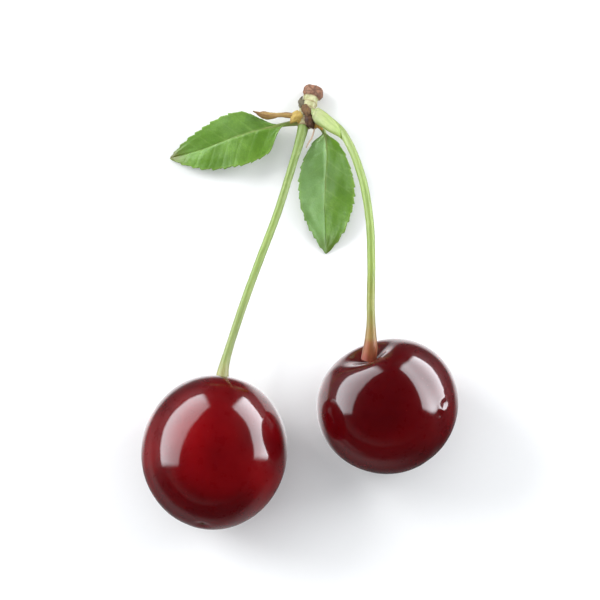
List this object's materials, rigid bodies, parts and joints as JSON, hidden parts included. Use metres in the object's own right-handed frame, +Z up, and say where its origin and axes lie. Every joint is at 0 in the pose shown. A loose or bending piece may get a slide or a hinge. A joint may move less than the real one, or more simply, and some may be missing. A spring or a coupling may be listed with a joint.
{
  "type": "cherries on stalks",
  "caption": "Glossy dark red cherries on thin green stalks that join at a short woody spur with small toothed leaves and dry bud scales, lying down.",
  "frame": {"origin": "on the surface that the bunch lies on, under the middle of its box", "axes": "+Y along the stalks from the fruit to the spur, +Z up from the surface, +X to the right"},
  "size_m": [0.0467, 0.0687, 0.0208],
  "materials": {
    "skin_red": "gloss",
    "skin_dark": "gloss",
    "stalk": "satin",
    "spur": "satin",
    "bark": "matte",
    "leaf": "satin",
    "bract": "satin",
    "dry_bract": "matte",
    "papery_scale": "matte",
    "brown_scale": "matte",
    "dark_scale": "matte",
    "amber_scale": "matte",
    "grey_scale": "matte",
    "stipule": "matte"
  },
  "bodies": {
    "root": {"cherry_left": "skin_red", "cherry_right": "skin_dark", "stalk_left": "stalk", "stalk_right": "stalk", "spur": "spur", "spur_knob": "bark", "leaf_left": "leaf", "leaf_right": "leaf", "bract_green": "bract", "bract_dry": "dry_bract", "scale_papery": "papery_scale", "scale_brown": "brown_scale", "scale_dark": "dark_scale", "scale_amber": "amber_scale", "scale_grey": "grey_scale", "stipule": "stipule"}
  },
  "joints": []
}
